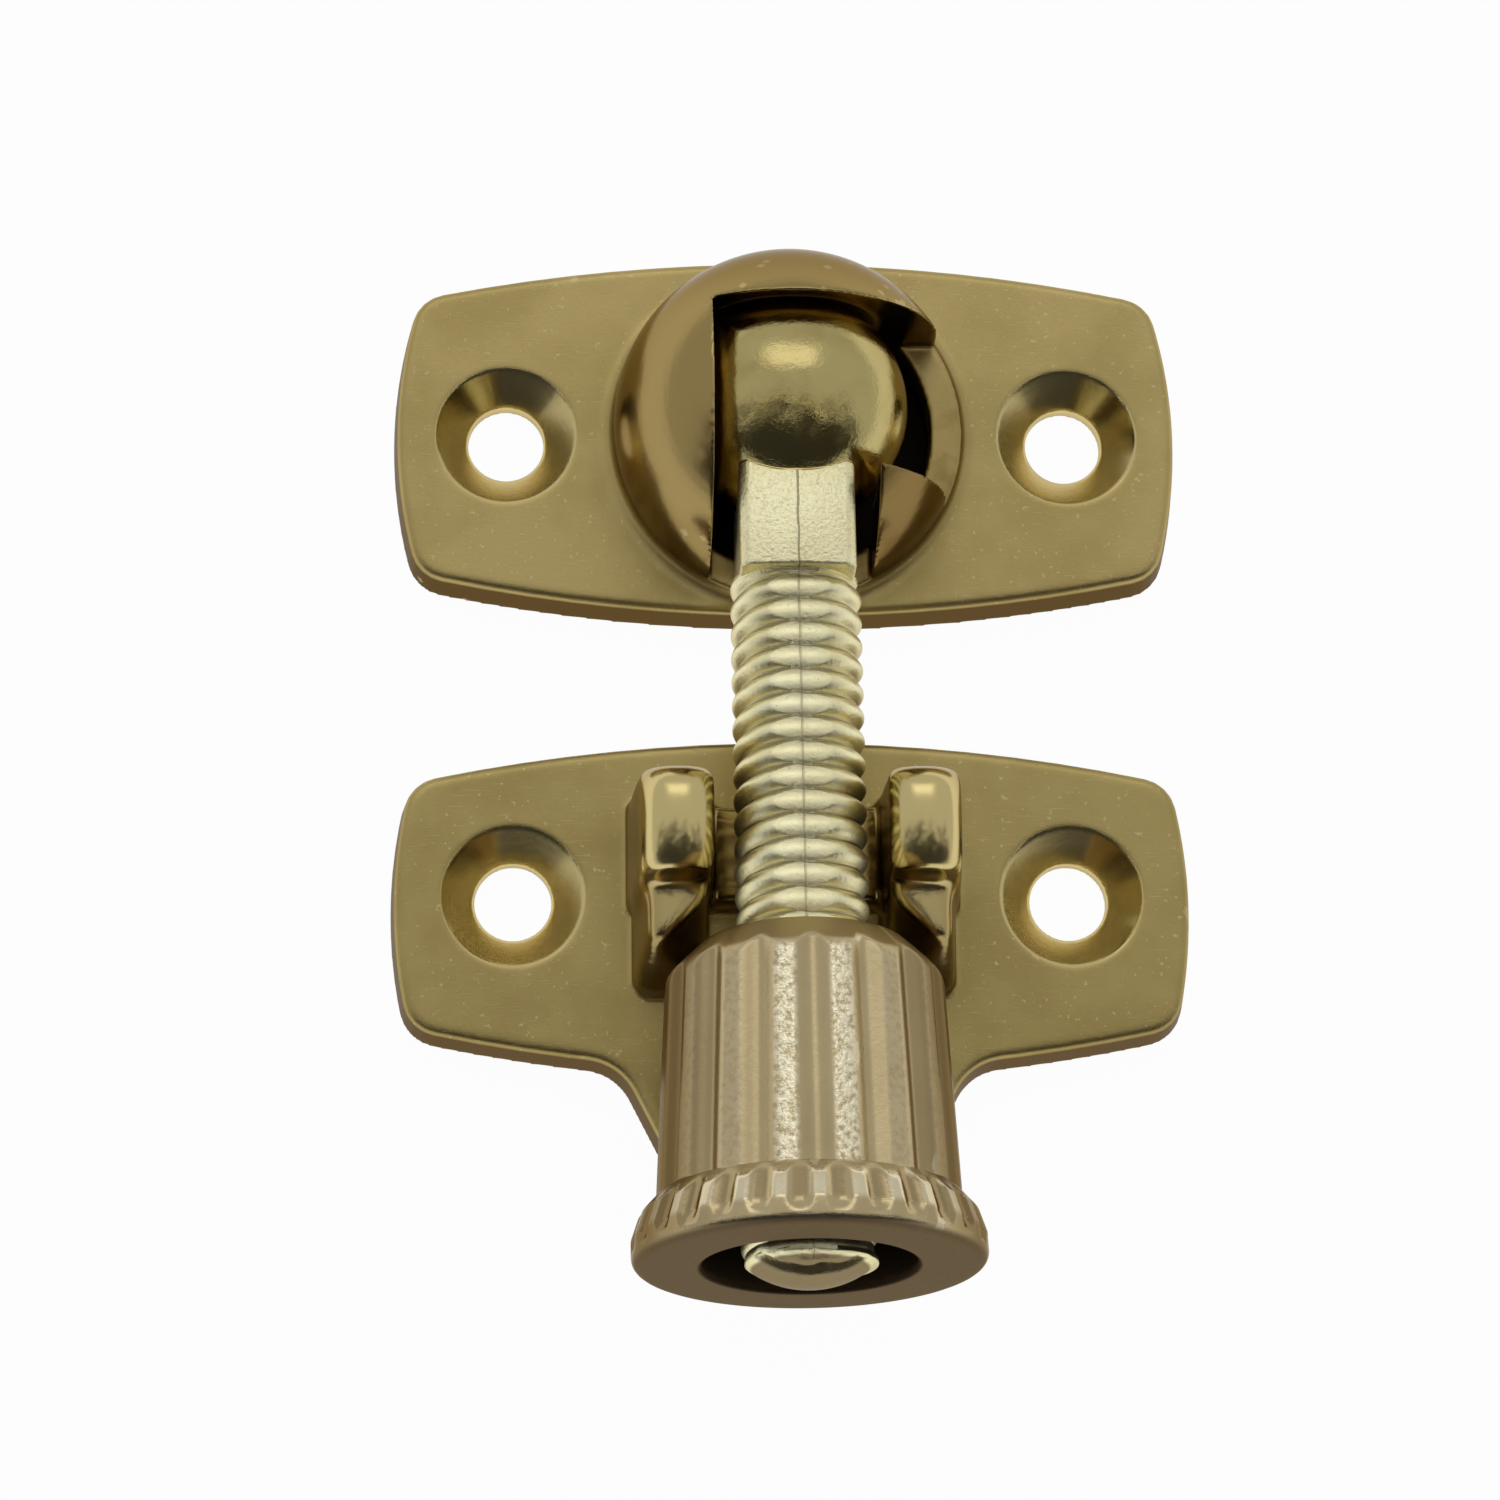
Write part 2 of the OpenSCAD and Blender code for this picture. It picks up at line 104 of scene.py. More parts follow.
@dataclass(frozen=True)
class Wire:
    """One output in a shader tree, with the arithmetic that finishes use."""

    tree: "Tree"
    socket: bpy.types.NodeSocket

    def math(self, operation: str, *values: "Number") -> "Wire":
        """Returns the result of a Math node with its operands in order."""
        return self.tree.add("ShaderNodeMath", {"operation": operation}, dict(enumerate(values)))

    def first(self, operation: str, other: "Number") -> "Wire":
        """Returns the result with this value as the first operand."""
        return self.math(operation, self, other)

    def second(self, operation: str, other: "Number") -> "Wire":
        """Returns the result with this value as the second operand."""
        return self.math(operation, other, self)

    __add__ = partialmethod(first, "ADD")
    __radd__ = partialmethod(second, "ADD")
    __sub__ = partialmethod(first, "SUBTRACT")
    __rsub__ = partialmethod(second, "SUBTRACT")
    __mul__ = partialmethod(first, "MULTIPLY")
    __rmul__ = partialmethod(second, "MULTIPLY")

    def __abs__(self) -> "Wire":
        """Returns the value without its sign."""
        return self.math("ABSOLUTE", self)

    def rise(self, low: float, high: float) -> "Wire":
        """Returns a soft step from 0 at low to 1 at high, which falls where low is above high."""
        start, end = (0.0, 1.0) if low < high else (1.0, 0.0)
        return self.tree.add(
            "ShaderNodeMapRange",
            {"interpolation_type": "SMOOTHSTEP", "clamp": True},
            {0: self, 1: min(low, high), 2: max(low, high), 3: start, 4: end},
        )

    def near(self, value: float, step: Step) -> "Wire":
        """Returns a soft step whose two ends are counted from a value."""
        return self.rise(value + step[0], value + step[1])


Number = Union[Wire, float]


class Tree:
    """A node tree that finishes and the studio are written in."""

    def __init__(self, owner: Union[bpy.types.Material, bpy.types.World]) -> None:
        """Empties the owner's tree.

        Args:
            owner: Material or world whose nodes are made.
        """
        owner.use_nodes = True
        self.nodes = owner.node_tree.nodes
        self.links = owner.node_tree.links
        self.nodes.clear()

    def add(
        self,
        kind: str,
        settings: Optional[Mapping[str, Any]] = None,
        inputs: Optional[Mapping[Union[str, int], Any]] = None,
        out: Union[str, int] = 0,
    ) -> Wire:
        """Adds any node.

        Args:
            kind: Node type.
            settings: Its properties, which are set first.
            inputs: Values or wires of its sockets.
            out: Output that is returned.

        Returns:
            That output.
        """
        node = self.nodes.new(kind)
        for key, value in (settings or {}).items():
            setattr(node, key, value)
        for key, value in (inputs or {}).items():
            if isinstance(value, Wire):
                self.links.new(value.socket, node.inputs[key])
            else:
                node.inputs[key].default_value = value
        return Wire(self, node.outputs[out] if node.outputs else None)

    @cached_property
    def place(self) -> Wire:
        """Point on the object, in metres."""
        return self.add("ShaderNodeTexCoord", out="Object")

    def along(self, origin: Sequence[float], turn: Sequence[float]) -> Wire:
        """Returns the point in a frame with its own origin and turn, in metres."""
        return self.add(
            "ShaderNodeMapping",
            {"vector_type": "TEXTURE"},
            {"Vector": self.place, "Location": origin, "Rotation": turn},
        )

    def stretched(self, scale: Sequence[float], turn: float = 0.0) -> Wire:
        """Returns the point scaled along its axes and turned about Z."""
        return self.add(
            "ShaderNodeMapping", None, {"Vector": self.place, "Scale": scale, "Rotation": (0.0, 0.0, turn)}
        )

    def numbers(self, vector: Wire) -> list[Wire]:
        """Returns a vector's three numbers."""
        split = self.add("ShaderNodeSeparateXYZ", None, {0: vector})
        return [Wire(self, output) for output in split.socket.node.outputs]

    def parts(self, vector: Wire) -> list[Wire]:
        """Returns the three numbers of a vector in metres, in millimetres."""
        return [number * (1 / MM) for number in self.numbers(vector)]

    def length(self, *values: Wire) -> Wire:
        """Returns the length of a vector given by two or three numbers."""
        vector = self.add("ShaderNodeCombineXYZ", None, dict(enumerate(values)))
        return self.add("ShaderNodeVectorMath", {"operation": "LENGTH"}, {0: vector}, "Value")

    def noises(self, place: Wire, *kinds: Blotches) -> list[Wire]:
        """Adds noises.

        Args:
            place: Point in metres.
            kinds: What each looks like.

        Returns:
            A value about 0.5 for each.
        """
        return [
            self.add(
                "ShaderNodeTexNoise",
                {"noise_dimensions": "3D"},
                {
                    "Vector": place, "Scale": 1 / (kind.size * MM),
                    "Detail": kind.detail, "Roughness": kind.roughness,
                },
            )
            for kind in kinds
        ]

    def blend(self, share: Number, first: Union[Wire, Colour], second: Union[Wire, Colour]) -> Wire:
        """Returns the first colour with a share of the second mixed in."""
        pair = [c if isinstance(c, Wire) else (*c, 1.0) for c in (first, second)]
        return self.add("ShaderNodeMix", {"data_type": "RGBA"}, {0: share, 6: pair[0], 7: pair[1]}, 2)

    def edges(self, low: float, high: float) -> Wire:
        """Returns a mask of the edges, which handling wears most."""
        return self.add("ShaderNodeNewGeometry", out="Pointiness").rise(low, high)

    def metal(self, colour: Wire, roughness: Number, height: Wire) -> None:
        """Ends the tree in a metal.

        Args:
            colour: Its reflection.
            roughness: Its roughness.
            height: Relief of its skin in millimetres.
        """
        relief = self.add("ShaderNodeBump", None, {"Strength": 1.0, "Distance": MM, "Height": height})
        skin = self.add(
            "ShaderNodeBsdfPrincipled",
            None,
            {
                "Base Color": colour, "Metallic": 1.0, "Roughness": roughness, "Normal": relief,
                "Specular Tint": GRAZING_TINT,
            },
        )
        self.add("ShaderNodeOutputMaterial", None, {"Surface": skin})


@dataclass(frozen=True)
class ArmLine:
    """Line of the closed arm, from the ball's centre along the thread."""

    ball: Vector
    direction: Vector

    @classmethod
    def of(cls, joints: Sequence[Mapping[str, Any]]) -> "ArmLine":
        """Returns the line, in millimetres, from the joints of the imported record."""
        by_name = {joint["name"]: joint for joint in joints}
        return cls(
            Vector(by_name["arm_lift"]["pos_m"]) / MM, Vector(by_name["nut_travel"]["axis"]).normalized()
        )

    @property
    def turn(self) -> float:
        """Turn about X that brings Z onto the line."""
        return math.atan2(-self.direction.y, self.direction.z)

    def place(self, along: float = 0.0) -> Matrix:
        """Returns the matrix of a frame with Z along the arm and Y on its upper side."""
        return (
            Matrix.Translation(self.ball)
            @ Matrix.Rotation(self.turn, 4, "X")
            @ Matrix.Translation((0.0, 0.0, along))
        )

    def coordinates(self, tree: Tree) -> list[Wire]:
        """Returns how far a finish's point lies across, above and along the arm, in millimetres."""
        return tree.parts(tree.along(tuple(self.ball * MM), (self.turn, 0.0, 0.0)))


@dataclass(frozen=True)
class Brass(ABC):
    """A finish in brass."""

    name: str

    def material(self) -> bpy.types.Material:
        """Returns the material."""
        material = bpy.data.materials.new(self.name)
        tree = Tree(material)
        self.paint(tree)
        return material

    @abstractmethod
    def paint(self, tree: Tree) -> None:
        """Makes the nodes.

        Args:
            tree: Tree of the material.
        """


@dataclass(frozen=True)
class PlateBrass(Brass):
    """Satin cast plate with polished raised work, smoother countersinks and browner sides."""

    hole_spacing: float
    hole_y: float
    colour: Colour = (0.45, 0.352, 0.138)
    film_and_shade: Colour = (0.375, 0.285, 0.105)
    side: Colour = (0.115, 0.066, 0.02)
    polished: Colour = (0.35, 0.255, 0.098)
    wear_and_highlight: Colour = (0.62, 0.52, 0.26)
    # Brown of the lower raised work; on the socket plate it is also painted shade at the dome's rear and
    # front leaf.
    brown: Colour = (0.2, 0.125, 0.04)
    sunk: Colour = (0.66, 0.54, 0.25)
    # Painted light: the socket's inside is a lighter amber than the plate, as if lit inside the dome.
    inside: Colour = (0.8, 0.55, 0.2)
    thickness: float = 3.2
    side_step: Step = (-0.35, -0.75)
    raised_step: Step = (4.0, 4.9)
    countersink: float = 4.75
    countersink_step: Step = (0.0, -0.15)
    brown_below: Step = (12.6, 10.6)
    brown_share: float = 0.6
    cloud: Blotches = Blotches(6.5, 3.0)
    grain: Blotches = Blotches(0.32, 3.0, 0.6)
    fine: Blotches = Blotches(0.12, 1.0)
    speck: Blotches = Blotches(0.34, 1.0)
    scratch: Blotches = Blotches(0.09)
    scratch_stretch: Point = (0.05, 1.0, 1.0)
    scratch_runs: tuple[tuple[float, Step], ...] = ((0.35, (0.66, 0.74)), (-0.9, (0.68, 0.76)))

    def scratches(self, tree: Tree) -> Wire:
        """Makes the scratches, which run in two directions.

        Args:
            tree: Tree of the material.

        Returns:
            Their mask.
        """
        masks = []
        for turn, step in self.scratch_runs:
            (lines,) = tree.noises(tree.stretched(self.scratch_stretch, turn), self.scratch)
            masks.append(lines.rise(*step))
        return masks[0] + masks[1]

    def brown_and_shade(self, tree: Tree) -> Wire:
        """Returns how brown the raised work is."""
        return self.brown_share * tree.parts(tree.place)[2].rise(*self.brown_below)

    def inner(self, tree: Tree) -> Number:
        """Returns a mask of the inside of a socket, which a plain plate lacks."""
        return 0.0

    def paint(self, tree: Tree) -> None:
        """Makes the nodes.

        Args:
            tree: Tree of the material.
        """
        x, y, z = tree.parts(tree.place)
        cloud, grain, fine, speck = tree.noises(tree.place, self.cloud, self.grain, self.fine, self.speck)
        scratch = self.scratches(tree)
        inner = self.inner(tree)

        raised = z.rise(*self.raised_step)
        side = z.near(self.thickness, self.side_step)
        from_hole = tree.length(abs(x) - self.hole_spacing / 2, y - self.hole_y)
        hole = from_hole.near(self.countersink, self.countersink_step)
        flat = (1 - raised) * (1 - side) * (1 - hole)

        colour = tree.blend(cloud.rise(0.38, 0.68) * 0.8, self.colour, self.film_and_shade)
        colour = tree.blend(raised, colour, self.polished)
        colour = tree.blend(side * (1 - hole), colour, self.side)
        colour = tree.blend(hole, colour, self.sunk)
        wear = speck.rise(0.69, 0.76) * 0.7 + scratch * 0.4
        colour = tree.blend(flat * wear, colour, self.wear_and_highlight)
        colour = tree.blend(tree.edges(0.52, 0.6) * 0.55, colour, self.wear_and_highlight)
        # Browner towards the bottom of the raised work, and on the socket plate painted shade at the
        # dome's rear and front leaf.
        colour = tree.blend(raised * (1 - inner) * self.brown_and_shade(tree), colour, self.brown)
        # Painted light: the socket's inside takes the lighter amber.
        colour = tree.blend(inner, colour, self.inside)
        roughness = 0.14 + 0.2 * flat + 0.18 * side * (1 - hole) + 0.08 * grain + 0.04 * cloud
        roughness = roughness + 0.25 * inner
        satin = 0.010 * grain + 0.004 * fine - 0.004 * scratch
        smooth = 0.005 * grain + 0.0015 * fine
        tree.metal(colour, roughness, flat * satin + (1 - flat) * smooth)


@dataclass(frozen=True, kw_only=True)
class SocketBrass(PlateBrass):
    """Plate with a domed socket, which is browner in streaks towards the bottom of the dome, has painted
    shade in brown at the rear and on its front leaf, and has its socket's inside painted lighter as light.
    """

    socket_height: float
    socket_radius: float = 8.05
    socket_step: Step = (0.5, 0.0)
    colour: Colour = (0.50, 0.39, 0.157)
    film_and_shade: Colour = (0.42, 0.32, 0.12)
    brown_below: Step = (11.0, 5.5)
    streak: Blotches = Blotches(2.2, 3.0)
    streak_stretch: Point = (1.0, 1.0, 0.3)
    rear_shade_step: Step = (5.0, 10.0)
    leaf_shade_right: Step = (2.5, 5.0)
    leaf_shade_front: Step = (-2.0, -5.0)

    def brown_and_shade(self, tree: Tree) -> Wire:
        """Returns the share of brown on the dome: browner in streaks towards the bottom, and painted shade
        at the rear and on the front leaf.

        Args:
            tree: Tree of the material.

        Returns:
            The share of brown, partly painted shade.
        """
        x, y, _ = tree.parts(tree.place)
        (streak,) = tree.noises(tree.stretched(self.streak_stretch), self.streak)
        low = super().brown_and_shade(tree) * (0.4 + 1.4 * streak.rise(0.4, 0.62))
        # Painted shade: the rear of the dome and its front leaf are browner.
        rear = 0.5 * y.rise(*self.rear_shade_step)
        leaf = 0.7 * x.rise(*self.leaf_shade_right) * y.rise(*self.leaf_shade_front)
        return low + rear + leaf

    def inner(self, tree: Tree) -> Number:
        """Returns a mask of the socket's inside."""
        x, y, z = tree.parts(tree.place)
        return tree.length(x, y, z - self.socket_height).near(self.socket_radius, self.socket_step)


@dataclass(frozen=True)
class ArmBrass(Brass):
    """Pale cast arm with a polished ball, thread roots darkened with grime and painted shade, and the line
    where the mould parted.
    """

    line: ArmLine
    ball_radius: float
    root: float
    colour: Colour = (0.91, 0.84, 0.51)
    cast: Colour = (0.96, 0.91, 0.59)
    ball: Colour = (0.50, 0.415, 0.175)
    ball_film: Colour = (0.42, 0.335, 0.13)
    # Dark brown of grime, and painted shade where it darkens the thread roots.
    dirt_and_shade: Colour = (0.17, 0.115, 0.05)
    ball_step: Step = (0.12, 0.03)
    thread_start: float = 12.7
    thread_step: Step = (-0.1, 0.1)
    root_step: Step = (0.22, -0.02)
    seam_wander: float = 0.16
    seam_step: Step = (0.085, 0.035)
    seam_from: Step = (-0.3, 0.0)
    cloud: Blotches = Blotches(3.2, 3.0)
    grain: Blotches = Blotches(0.26, 3.0, 0.62)
    fine: Blotches = Blotches(0.11, 1.0)
    wander: Blotches = Blotches(1.3)
    sand: Blotches = Blotches(0.24, 2.0, 0.7)
    wobble: Blotches = Blotches(1.5, 1.0)

    def paint(self, tree: Tree) -> None:
        """Makes the nodes.

        Args:
            tree: Tree of the material.
        """
        x, up, run = self.line.coordinates(tree)
        cloud, grain, fine = tree.noises(tree.place, self.cloud, self.grain, self.fine)
        wander, sand, wobble = tree.noises(tree.place, self.wander, self.sand, self.wobble)

        ball = tree.length(x, up, run).near(self.ball_radius, self.ball_step)
        rest = 1 - ball
        threaded = run.near(self.thread_start, self.thread_step)
        neck = (1 - threaded) * rest
        root = threaded * rest * tree.length(x, up).near(self.root, self.root_step)
        seam = rest * abs(x + self.seam_wander * wander - self.seam_wander / 2).rise(*self.seam_step)
        seam = seam * abs(up).near(self.root, self.seam_from)
        pits = grain.rise(0.36, 0.3)

        colour = tree.blend(cloud.rise(0.35, 0.7), self.colour, self.cast)
        # Grime and painted shade: the thread roots are darkened as creases.
        colour = tree.blend(root * 0.85, colour, self.dirt_and_shade)
        colour = tree.blend(seam * (0.35 + 0.3 * neck), colour, self.dirt_and_shade)
        colour = tree.blend(rest * pits * 0.35, colour, self.dirt_and_shade)
        polished = tree.blend(cloud.rise(0.4, 0.75), self.ball, self.ball_film)
        colour = tree.blend(ball, colour, polished)
        colour = tree.blend(neck * sand.rise(0.48, 0.36) * 0.2, colour, self.dirt_and_shade)
        roughness = 0.06 + rest * (0.24 + 0.1 * grain) + 0.05 * cloud
        skin = 0.030 * grain + 0.010 * fine - 0.03 * seam
        ball_skin = 0.045 * wobble + 0.02 * grain + 0.005 * fine
        tree.metal(colour, roughness, rest * skin + neck * 0.06 * sand + ball * ball_skin)


@dataclass(frozen=True)
class NutBrass(Brass):
    """Rosy satin nut with rough cast ribs, a matt outer face painted darker as shade, a hollow darkened
    with grime and painted shade, its top painted lighter and its flanks darker as light and shade, and
    painted highlights on the upper ribs and the collar's ridges.
    """

    line: ArmLine
    nose: float
    foot: float
    end: float
    hollow: float
    ribs: int
    scallops: int
    colour: Colour = (0.55, 0.445, 0.25)
    # Painted shade: the darker colour of the nut's flanks and of its scallop valleys.
    film_and_shade: Colour = (0.215, 0.145, 0.06)
    # Wear and painted highlights: rubbed edges, the upper ribs and the collar's ridges.
    wear_and_highlight: Colour = (0.93, 0.85, 0.62)
    # Matt outer face, also painted darker as shade.
    dull_and_shade: Colour = (0.165, 0.118, 0.066)
    # Painted shade and grime inside the hollow.
    inside: Colour = (0.05, 0.035, 0.02)
    face_step: Step = (-0.5, -0.1)
    hollow_from: Step = (8.0, 9.0)
    hollow_step: Step = (0.35, 0.05)
    barrel_from: Step = (2.0, 2.8)
    barrel_to: Step = (0.2, -0.2)
    collar_from: Step = (0.3, 0.9)
    lip_from: Step = (2.9, 2.3)
    cloud: Blotches = Blotches(4.0, 3.0)
    grain: Blotches = Blotches(0.42, 3.0, 0.6)
    fine: Blotches = Blotches(0.13, 1.0)
    sand: Blotches = Blotches(0.4, 2.0, 0.65)

    def paint(self, tree: Tree) -> None:
        """Makes the nodes.

        Args:
            tree: Tree of the material.
        """
        x, up, run = self.line.coordinates(tree)
        cloud, grain, fine, sand = tree.noises(tree.place, self.cloud, self.grain, self.fine, self.sand)

        radius = tree.length(x, up)
        angle = x.math("ARCTAN2", up, x)
        face = run.near(self.end, self.face_step)
        hollow = run.near(self.nose, self.hollow_from) * radius.near(self.hollow, self.hollow_step)
        edge_wear_and_light = tree.edges(0.51, 0.57)
        # Painted light and shade: this mask is 1 on the nut's top and 0 on its flanks.
        lit_top = up.math("DIVIDE", up, radius).rise(0.35, 0.97)
        barrel = run.near(self.nose, self.barrel_from) * run.near(self.foot, self.barrel_to)
        rib = barrel * angle.math("COSINE", angle * float(self.ribs)).rise(0.05, -0.7)
        # Painted highlights on the ribs near the top, which also carry the rough relief.
        coarse_lit_ribs = rib * (0.2 * lit_top + 0.8 * lit_top.rise(0.93, 1.0))
        collar = run.near(self.foot, self.collar_from) * (1 - face)
        cut = collar * run.near(self.foot, self.lip_from)
        tooth = angle.math("COSINE", angle * float(self.scallops))

        # Painted light and shade: the top takes the nut's colour and the flanks take the darker one.
        colour = tree.blend(lit_top * (1.1 - 0.4 * cloud), self.film_and_shade, self.colour)
        # Edge wear, weighted towards the top as painted light.
        edge_wear_and_light = edge_wear_and_light * (0.15 + 0.3 * lit_top) * (1 - rib)
        colour = tree.blend(edge_wear_and_light, colour, self.wear_and_highlight)
        # Painted highlights on the upper ribs.
        colour = tree.blend(coarse_lit_ribs * sand.rise(0.3, 0.6), colour, self.wear_and_highlight)
        # Painted shade in the scallop valleys.
        colour = tree.blend(cut * tooth.rise(0.0, -0.8) * 0.4, colour, self.film_and_shade)
        # Painted highlights on the scallop ridges, strongest towards the top.
        tooth_highlights = cut * tooth.rise(0.15, 0.75) * (0.1 + 0.5 * lit_top)
        colour = tree.blend(tooth_highlights, colour, self.wear_and_highlight)
        # Matt outer face, painted darker as shade.
        colour = tree.blend(face, colour, self.dull_and_shade)
        # Painted shade and grime inside the hollow.
        colour = tree.blend(hollow, colour, self.inside)
        roughness = 0.25 + 0.12 * grain + 0.05 * cloud - 0.16 * collar + 0.2 * face + 0.3 * hollow
        skin = 0.014 * grain + 0.006 * fine
        height = (1 - 0.7 * face) * skin + coarse_lit_ribs * 0.11 * sand
        tree.metal(colour, roughness, height)


@dataclass(frozen=True)
class SheetBrass(Brass):
    """Rolled sheet of the retaining disc, with rolling lines, a tarnished bloom and a top painted near
    black as shade under the ball.
    """

    colour: Colour = (0.50, 0.40, 0.17)
    film_and_shade: Colour = (0.33, 0.24, 0.10)
    # Painted shade: the top under the ball is near black.
    shade_black: Colour = (0.018, 0.015, 0.012)
    shaded_top_step: Step = (0.7, 0.75)
    cloud: Blotches = Blotches(3.5, 4.0, 0.6)
    lines: Blotches = Blotches(0.08)
    lines_stretch: Point = (0.03, 1.0, 1.0)
    fine: Blotches = Blotches(0.12, 1.0)

    def paint(self, tree: Tree) -> None:
        """Makes the nodes.

        Args:
            tree: Tree of the material.
        """
        cloud, fine = tree.noises(tree.place, self.cloud, self.fine)
        (lines,) = tree.noises(tree.stretched(self.lines_stretch), self.lines)
        shaded_top = tree.parts(tree.place)[2].rise(*self.shaded_top_step)
        colour = tree.blend(cloud.rise(0.4, 0.7), self.colour, self.film_and_shade)
        colour = tree.blend(lines.rise(0.6, 0.8) * 0.4, colour, self.film_and_shade)
        # Painted shade: the top face turns near black.
        colour = tree.blend(shaded_top, colour, self.shade_black)
        roughness = 0.26 + 0.15 * cloud + 0.08 * lines + 0.3 * shaded_top
        tree.metal(colour, roughness, 0.004 * lines + 0.002 * fine)


def as_mesh(shape: bmesh.types.BMesh, name: str) -> bpy.types.Mesh:
    """Ends a shape.

    Args:
        shape: The shape, which is freed.
        name: Name of its mesh.

    Returns:
        The mesh.
    """
    mesh = bpy.data.meshes.new(name)
    shape.to_mesh(mesh)
    shape.free()
    return mesh


def placed(shape: bmesh.types.BMesh, place: Matrix) -> bpy.types.Mesh:
    """Ends a shape that was made in millimetres.

    Args:
        shape: The shape, which is freed.
        place: Matrix to the part's frame, in millimetres.

    Returns:
        The mesh in metres, with its faces outwards.
    """
    bmesh.ops.recalc_face_normals(shape, faces=shape.faces)
    bmesh.ops.transform(shape, matrix=Matrix.Scale(MM, 4) @ place, verts=shape.verts)
    return as_mesh(shape, "shape")


def finished(
    name: str, mesh: bpy.types.Mesh, finish: Brass, node: str, body: Body
) -> bpy.types.Object:
    """Makes a piece that stands for a solid.

    Args:
        name: Name of the piece.
        mesh: Its mesh, in place and in metres.
        finish: Finish that it gets.
        node: Solid that it replaces.
        body: Group that it moves with.

    Returns:
        The piece.
    """
    mesh.name = name
    mesh.materials.clear()
    mesh.materials.append(finish.material())
    mesh.shade_smooth()
    piece = bpy.data.objects.new(name, mesh)
    bpy.context.scene.collection.objects.link(piece)
    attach(piece, body.value)
    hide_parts(node)
    LOG.info("%s: %d faces on body %s", name, len(mesh.polygons), body.value)
    return piece


def fillet(corners: Sequence[Point], steps: int = 6) -> list[Vector]:
    """Rounds an open path.

    Args:
        corners: Corners as radius from the axis, place along it, and rounding.
        steps: Steps in each rounding.

    Returns:
        Points in the plane of the axis and +X.
    """
    at = [Vector((r, 0.0, s)) for r, s, _ in corners]
    path = [at[0]]
    for i in range(1, len(at) - 1):
        size = corners[i][2]
        if size == 0.0:
            path.append(at[i])
            continue
        back, ahead = (at[i - 1] - at[i]).normalized(), (at[i + 1] - at[i]).normalized()
        half = back.angle(ahead) / 2
        centre = at[i] + (back + ahead).normalized() * (size / math.sin(half))
        start, end = at[i] + back * (size / math.tan(half)), at[i] + ahead * (size / math.tan(half))
        for k in range(steps + 1):
            path.append(centre + (start - centre).slerp(end - centre, k / steps) * size)
    path.append(at[-1])
    return path


def refined(path: Sequence[Vector], gap: float) -> list[Vector]:
    """Adds points to a path.

    Args:
        path: Points in order.
        gap: Longest distance between two neighbours.

    Returns:
        The path with no two neighbours further apart than that.
    """
    points = [path[0]]
    for start, end in zip(path, path[1:]):
        count = max(1, math.ceil((end - start).length / gap))
        points += [start.lerp(end, k / count) for k in range(1, count + 1)]
    return points


def repeat(shape: bmesh.types.BMesh, places: Sequence[Matrix]) -> None:
    """Adds copies of all that a shape holds.

    Args:
        shape: The shape.
        places: Matrix of each copy.
    """
    first = shape.verts[:] + shape.edges[:] + shape.faces[:]
    for place in places:
        copy = bmesh.ops.duplicate(shape, geom=first)
        verts = [v for v in copy["geom"] if isinstance(v, bmesh.types.BMVert)]
        bmesh.ops.transform(shape, matrix=place, verts=verts)


def turned(path: Sequence[Vector], steps: int, sectors: int = 8) -> bmesh.types.BMesh:
    """Turns a path once round the Z axis.

    Args:
        path: Points in the plane of the axis and +X.
        steps: Steps of the turn, a multiple of the sectors.
        sectors: Equal parts, of which one is turned and the others are its copies.

    Returns:
        The closed shape.
    """
    shape = bmesh.new()
    points = [shape.verts.new(p) for p in path]
    lines = [shape.edges.new(pair) for pair in zip(points, points[1:])]
    sector = 2 * math.pi / sectors
    bmesh.ops.spin(
        shape, geom=points + lines, cent=(0, 0, 0), axis=(0, 0, 1), angle=sector, steps=steps // sectors
    )
    repeat(shape, [Matrix.Rotation(sector * k, 4, "Z") for k in range(1, sectors)])
    bmesh.ops.remove_doubles(shape, verts=shape.verts, dist=WELD)
    return shape


def soft_min(a: float, b: float, blend: float) -> float:
    """Returns the lower of two values, with a rounded change between them."""
    share = max(blend - abs(a - b), 0.0) / blend
    return min(a, b) - share * share * blend / 4


@dataclass(frozen=True)
class ThumbTops:
    """Rounded tops of the keep's two horns."""

    top: float = 15.5
    lowest: float = 11.6
    middle: float = 7.7
    half_width: float = 2.3
    rear: float = -25.0
    front: float = -31.6
    margin: float = 1.5
    side_round: float = 2.0
    rear_round: float = 2.4
    front_round: float = 4.6
    front_run: float = 3.0

    @staticmethod
    def drop(past: float, size: float, run: float) -> float:
        """Returns how far a rounding has dropped past its start, and no further past its run."""
        past = min(max(past, 0.0), run)
        return size - math.sqrt(size * size - past * past)

    def shape(self, verts: Sequence[bmesh.types.BMVert]) -> None:
        """Lowers the points that stand above the rounded tops.

        Args:
            verts: Points of the plate, in metres.
        """
        for vert in verts:
            x, y, z = abs(vert.co.x) / MM, vert.co.y / MM, vert.co.z / MM
            aside = abs(x - self.middle)
            if z < self.lowest or aside > self.half_width + self.margin:
                continue
            if not self.front - self.margin < y < self.rear + self.margin:
                continue
            limit = (
                self.top
                - self.drop(aside - self.half_width + self.side_round, self.side_round, self.side_round)
                - self.drop(self.front + self.front_run - y, self.front_round, self.front_run)
                - self.drop(y - self.rear + self.rear_round, self.rear_round, self.rear_round)
            )
            vert.co.z = min(z, max(limit, self.lowest)) * MM


